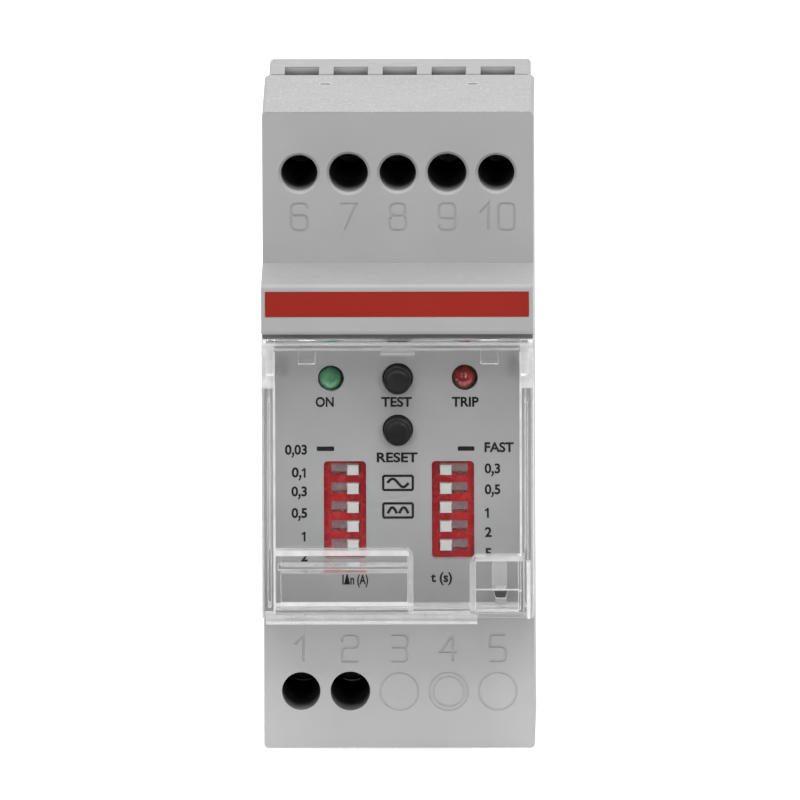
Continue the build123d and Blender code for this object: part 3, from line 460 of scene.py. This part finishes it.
def switch_red():
    """Glossy red blocks with pale, slightly pink floors in their slots."""
    mat, tree, shader = new_material("switch_red")
    patches = spread(tree, noise(tree, 260.0, 3.0), 0.0, 1.0)
    red = tint(tree, patches, (0.36, 0.012, 0.017), (0.46, 0.018, 0.022))
    in_slot = ramp(tree, axes(tree)[1], 0.0, 1.0, *SLIDE_FLOOR)
    pink = tint(tree, spread(tree, noise(tree, 1500.0), 0.0, 1.0), (0.62, 0.47, 0.5), (0.8, 0.68, 0.7))
    tree.links.new(tint(tree, in_slot, red, pink), shader.inputs["Base Color"])
    tree.links.new(spread(tree, noise(tree, 900.0), 0.2, 0.32), shader.inputs["Roughness"])
    bump(tree, shader, noise(tree, 1800.0), 0.4, 6e-6)
    return mat


def lens(name, dark, light):
    """A tinted lamp body: cloudy inside, with a smooth glossy skin."""
    mat, tree, shader = new_material(name)
    cloud = spread(tree, noise(tree, 900.0, 3.0), 0.0, 1.0, 0.35, 0.65)
    tree.links.new(tint(tree, cloud, dark, light), shader.inputs["Base Color"])
    tree.links.new(spread(tree, noise(tree, 700.0), 0.08, 0.13), shader.inputs["Roughness"])
    shader.inputs["Subsurface Weight"].default_value = 0.5
    shader.inputs["Subsurface Radius"].default_value = (1.0, 1.0, 1.0)
    shader.inputs["Subsurface Scale"].default_value = 0.6 * MM
    shader.inputs["Coat Weight"].default_value = 1.0
    bump(tree, shader, noise(tree, 1200.0), 0.2, 3e-6)
    return mat


MATERIALS = {
    "housing": housing(),
    # white nought: milky only in the painted highlight parts of the front
    "clear_plastic": clear("clear_plastic", (0.97, 0.975, 0.975), 0.0, 0.0, 0.93),
    "red_strip": moulded("red_strip", (0.30, 0.015, 0.008), 0.5, 3000.0, 3e-6, gleam=0.2),
    "latch_plastic": moulded("latch_plastic", (0.04, 0.04, 0.045), 0.45),
    "button_plastic": moulded("button_plastic", (0.004, 0.004, 0.004), 0.36, 6000.0, 3e-6, gleam=0.25),
    "switch_red": switch_red(),
    "slider_white": moulded("slider_white", (0.56, 0.56, 0.545), 0.4, 3000.0, 6e-6),
    "lens_green": lens("lens_green", (0.05, 0.22, 0.10), (0.10, 0.34, 0.16)),
    "lens_red": lens("lens_red", (0.16, 0.002, 0.003), (0.36, 0.012, 0.012)),
    "board": moulded("board", (0.03, 0.16, 0.07), 0.35, 1500.0, 1e-5),
    "black_plastic": moulded("black_plastic", (0.03, 0.03, 0.03), 0.45),
    "blue_plastic": moulded("blue_plastic", (0.03, 0.09, 0.22), 0.3),
    "tinned_copper": moulded("tinned_copper", (0.62, 0.58, 0.52), 0.3, metallic=1.0),
    "plated_steel": moulded("plated_steel", (0.16, 0.16, 0.155), 0.4, metallic=1.0),
    "spring_steel": moulded("spring_steel", (0.5, 0.5, 0.5), 0.25, metallic=1.0),
    "core_iron": moulded("core_iron", (0.12, 0.12, 0.13), 0.5, metallic=1.0),
    "copper_wire": moulded("copper_wire", (0.5, 0.22, 0.1), 0.3, metallic=1.0),
    "tape_yellow": moulded("tape_yellow", (0.6, 0.45, 0.1), 0.4),
    "contact_metal": moulded("contact_metal", (0.6, 0.42, 0.2), 0.3, metallic=1.0),
    "resistor_body": moulded("resistor_body", (0.4, 0.3, 0.18), 0.35),
}
EDGE = clear("clear_edge", (1.0, 1.0, 1.0), 0.1, 0.3, 0.88)
WALLS = clear("clear_wall", (1.0, 1.0, 1.0), 0.06, 0.2, 0.93)
INK = moulded("ink", (0.004, 0.004, 0.004), 0.6, 4000.0, 2e-6, gleam=0.15)

for part in frame["record"]["subparts"]:
    part_mesh = NODES[part["node"]].data
    part_mesh.materials.clear()
    part_mesh.materials.append(MATERIALS[part["material_slot"]])


# ---------------------------------------------------------------- pieces
def link(name, mesh, body):
    """Add a mesh as a piece of a CAD body."""
    piece = bpy.data.objects.new(name, mesh)
    scene.collection.objects.link(piece)
    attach(piece, body)
    return piece


def bare_copy(node):
    """A CAD node's mesh without its material."""
    mesh = NODES[node].data.copy()
    mesh.materials.clear()
    return mesh


def prism(name, outline, y_front, y_back, material, body, bevel=0.0):
    """A plate with an outline of (x, z) points, its front edges rounded when a bevel is given; all in
    metres.
    """
    form = bmesh.new()
    front = [form.verts.new((x, y_front, z)) for x, z in outline]
    back = [form.verts.new((x, y_back, z)) for x, z in outline]
    face = form.faces.new(front)
    form.faces.new(list(reversed(back)))
    count = len(outline)
    for i in range(count):
        form.faces.new((front[i], back[i], back[(i + 1) % count], front[(i + 1) % count]))
    if bevel:
        bmesh.ops.bevel(form, geom=list(face.edges), offset=bevel, segments=3, profile=0.5,
                        affect="EDGES", clamp_overlap=True)
    bmesh.ops.recalc_face_normals(form, faces=form.faces)
    mesh = bpy.data.meshes.new(name)
    form.to_mesh(mesh)
    form.free()
    mesh.shade_smooth()
    mesh.set_sharp_from_angle(angle=radians(35))
    mesh.materials.append(material)
    return link(name, mesh, body)


COVER_BEVEL = 0.14 * MM
COVER_WELD = 2e-6  # points closer than this are one, in metres
SAME_PLANE = radians(2)
SHARP_EDGE = radians(40)
FRONT, BEVEL, SIDE = range(3)  # the cover's material slots


def make_cover():
    """The clear cover with rounded edges; rims, walls and faces square to the front differ in finish."""
    mesh = bare_copy("clear_cover")
    form = bmesh.new()
    form.from_mesh(mesh)
    bmesh.ops.remove_doubles(form, verts=form.verts, dist=COVER_WELD)
    bmesh.ops.dissolve_limit(form, angle_limit=SAME_PLANE, verts=form.verts, edges=form.edges)
    sharp = [e for e in form.edges if len(e.link_faces) == 2 and e.calc_face_angle(0.0) > SHARP_EDGE]
    bmesh.ops.bevel(form, geom=sharp, offset=COVER_BEVEL, segments=2, profile=0.5, affect="EDGES",
                    clamp_overlap=True, material=BEVEL)
    form.to_mesh(mesh)
    form.free()
    for material in (MATERIALS["clear_plastic"], EDGE, WALLS):
        mesh.materials.append(material)
    for face in mesh.polygons:
        face.use_smooth = face.material_index == BEVEL
        if face.material_index == FRONT and abs(face.normal.y) < 0.5:
            face.material_index = SIDE
    piece = link("clear_cover_look", mesh, "cover")
    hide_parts("clear_cover")


# ---------------------------------------------------------------- printed legend, in millimetres
INK_FRONT = PANEL * MM - 0.012 * MM
INK_BACK = PANEL * MM + 0.02 * MM
LETTER_HEIGHT = 1.3
LETTER_BOLD = 0.055
LETTER_THICK = 0.012
CAP_SHARE = 0.73  # height of a capital in the built-in font, as a share of its size

LEGEND = {
    # name: words, x, z, width
    "word_on": ("ON", -9.6, 5.6, 2.4),
    "word_test": ("TEST", -0.15, 5.6, 4.05),
    "word_trip": ("TRIP", 8.9, 5.6, 3.55),
    "word_reset": ("RESET", -0.15, -1.85, 5.4),
    "value_left_0": ("0,03", -13.4, -0.8, 2.9),
    "value_left_1": ("0,", -13.35, -3.85, 1.3),
    "value_left_2": ("0,3", -13.0, -6.4, 2.05),
    "value_left_3": ("0,5", -13.0, -9.3, 2.05),
    "value_left_5": ("2", -12.4, -15.2, 0.9),
    "word_fast": ("FAST", 13.3, -0.5, 3.85),
    "value_right_1": ("0,3", 12.5, -3.35, 2.05),
    "value_right_2": ("0,5", 12.5, -6.15, 2.05),
    "value_right_4": ("2", 11.9, -11.9, 0.9),
    "value_right_5": ("5", 11.9, -14.7, 0.9),
    "unit_right": ("t (s)", 5.75, -17.95, 2.8),
    "unit_left": ("IΔn (A)", -5.7, -18.3, 3.4),
}
ONES = (
    # the figure 1, drawn with strokes: name, x, z
    ("left_1_one", -12.3, -3.85),
    ("left_4", -12.35, -12.4),
    ("right_3", 11.85, -9.25),
)
FLAG = ((-0.38, 0.27), (0.0, 0.58))
STEM = ((0.0, 0.65), (0.0, -0.65))
COMMAS = ((-13.83, -0.8), (-12.9, -3.85), (-13.0, -6.4), (-13.0, -9.3), (12.5, -3.35), (12.5, -6.15))
TAIL = ((0.06, -0.5), (0.02, -0.72), (-0.16, -0.98))
DASHES = (
    # name, x from, x to, z, thickness
    ("dash_left", -10.7, -8.4, -0.6, 0.6),
    ("dash_right", 7.9, 10.1, -0.6, 0.6),
)
BOX_HEIGHTS = (-5.2, -8.9)  # z of the two symbols' middles
BOX = ((-1.95, -0.95), (1.95, -0.95), (1.95, 0.95), (-1.95, 0.95))
WAVE_HALF, WAVE_RISE, WAVE_STEPS = 1.4, 0.55, 24
PULSES = (-0.75, 0.75)  # x of the two pulses' middles
PULSE_FOOT = -9.3
PULSE_HALF, PULSE_RISE, PULSE_STEPS = 0.6, 0.8, 12


def ink_plate(name, outline):
    """Ink inside an outline in metres, a hair proud of the panel."""
    prism(name, outline, INK_FRONT, INK_BACK, INK, "case")


def ink_bar(name, x_from, x_to, z, thickness):
    """A printed dash with slightly rounded ends."""
    half = thickness / 2
    nip = thickness * 0.15
    outline = [
        (x_from, z - half + nip), (x_from + nip, z - half), (x_to - nip, z - half), (x_to, z - half + nip),
        (x_to, z + half - nip), (x_to - nip, z + half), (x_from + nip, z + half), (x_from, z + half - nip),
    ]
    ink_plate(name, [(x * MM, z * MM) for x, z in outline])


def ink_stroke(name, points, width):
    """A printed line through (x, z) points."""
    points = [Vector((x, z)) * MM for x, z in points]
    left, right = [], []
    for i, point in enumerate(points):
        run = points[min(i + 1, len(points) - 1)] - points[max(i - 1, 0)]
        side = Vector((-run.y, run.x)).normalized() * width * MM / 2
        left.append(point + side)
        right.append(point - side)
    ink_plate(name, [tuple(p) for p in right + list(reversed(left))])


def ink_text(name, words, x, z, width):
    """Printed words on the setting panel, centred on x and z and drawn to a width."""
    curve = bpy.data.curves.new(name, "FONT")
    curve.body = words
    curve.size = LETTER_HEIGHT * MM / CAP_SHARE
    curve.align_x = "CENTER"
    curve.align_y = "CENTER"
    curve.offset = LETTER_BOLD * MM
    curve.extrude = LETTER_THICK * MM
    curve.materials.append(INK)
    piece = bpy.data.objects.new(name, curve)
    piece.location = (x * MM, PANEL * MM, z * MM)
    piece.rotation_euler = (radians(90), 0.0, 0.0)
    scene.collection.objects.link(piece)
    bpy.context.view_layer.update()
    piece.scale = (width * MM / piece.dimensions.x, 1.0, 1.0)
    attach(piece, "case")


def moved(points, x, z):
    """Points shifted by x and z."""
    return [(x + dx, z + dz) for dx, dz in points]


def make_print():
    """The printed legend of the setting panel, with two boxed wave symbols below the reset button."""
    for name, words_and_place in LEGEND.items():
        ink_text(name, *words_and_place)
    for name, x, z in ONES:
        ink_stroke(f"value_{name}_flag", moved(FLAG, x, z), 0.2)
        ink_stroke(f"value_{name}_stem", moved(STEM, x, z), 0.25)
    for i, (x, z) in enumerate(COMMAS):
        ink_stroke(f"comma_{i}", moved(TAIL, x, z), 0.2)
    for dash in DASHES:
        ink_bar(*dash)
    for i, middle in enumerate(BOX_HEIGHTS):
        corners = moved(BOX, 0.0, middle)
        for k, corner in enumerate(corners):
            ink_stroke(f"symbol_{i}_side_{k}", [corner, corners[(k + 1) % 4]], 0.32)
    shares = [k / WAVE_STEPS for k in range(WAVE_STEPS + 1)]
    wave = [(WAVE_HALF * (2 * s - 1), BOX_HEIGHTS[0] + WAVE_RISE * sin(2 * pi * s)) for s in shares]
    ink_stroke("symbol_0_wave", wave, 0.36)
    shares = [k / PULSE_STEPS for k in range(PULSE_STEPS + 1)]
    for k, centre in enumerate(PULSES):
        pulse = [(centre + PULSE_HALF * (2 * s - 1), PULSE_FOOT + PULSE_RISE * sin(pi * s)) for s in shares]
        ink_stroke(f"symbol_1_pulse_{k}", pulse, 0.36)


# ---------------------------------------------------------------- small parts
# outline of the small black piece that makes the seal pocket's slot look dark
SLOT_DARK = ((12.65, -18.45), (14.45, -18.45), (14.15, -19.35), (12.95, -19.35))  # x and z, in millimetres
SLOT_DARK_FRONT, SLOT_DARK_BACK = -60.65 * MM, -60.25 * MM
SMALL_BEVEL = {"slot_dark": 0.08 * MM, "slide": 0.1 * MM}
# right side of a slide's outline, as shares of half its width and height
WAIST = ((1.0, 1.0), (1.0, 0.62), (0.8, 0.4), (0.8, -0.4), (1.0, -0.62), (1.0, -1.0))
LOW, HIGH = 0, 1  # corners of a box
SPRINGS = (
    # node, the body that moves, the box corner at its end on the case, the one at its moving end
    ("test_spring", "test_plunger", HIGH, LOW),
    ("reset_spring", "reset_plunger", HIGH, LOW),
    ("latch_spring", "latch", LOW, HIGH),
)


def make_seal_slot_dark():
    """A small black piece in the slot of the seal pocket, which makes the slot look dark."""
    outline = [(x * MM, z * MM) for x, z in SLOT_DARK]
    prism("seal_slot_dark", outline, SLOT_DARK_FRONT, SLOT_DARK_BACK, MATERIALS["black_plastic"], "cover",
          bevel=SMALL_BEVEL["slot_dark"])


def make_springs():
    """Each coil spring as a copy of its CAD mesh in spring steel, in place of the CAD node.
    """
    for node, mover, still, moving in SPRINGS:
        mesh = bare_copy(node)
        mesh.materials.append(MATERIALS["spring_steel"])
        piece = bpy.data.objects.new(node.replace("spring", "coil"), mesh)
        scene.collection.objects.link(piece)
        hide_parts(node)
        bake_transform(piece)


def make_sliders():
    """Setting slides with waisted pads, in place of the plain blocks."""
    for side in ("left", "right"):
        for i in range(1, 6):
            node = f"dip_slider_{side}_{i}"
            low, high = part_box(node)
            x, z = (low.x + high.x) / 2, (low.z + high.z) / 2
            half_x, half_z = (high.x - low.x) / 2, (high.z - low.z) / 2
            outline = [(x + half_x * u, z + half_z * v) for u, v in WAIST]
            outline += [(x - half_x * u, z + half_z * v) for u, v in reversed(WAIST)]
            piece = prism(f"slide_{side}_{i}", outline, low.y, high.y, MATERIALS["slider_white"],
                          f"slider_{side}_{i}", bevel=SMALL_BEVEL["slide"])
            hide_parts(node)


make_camera()
make_lights()
make_floor()
make_cover()
make_print()
make_sliders()
make_springs()
make_seal_slot_dark()
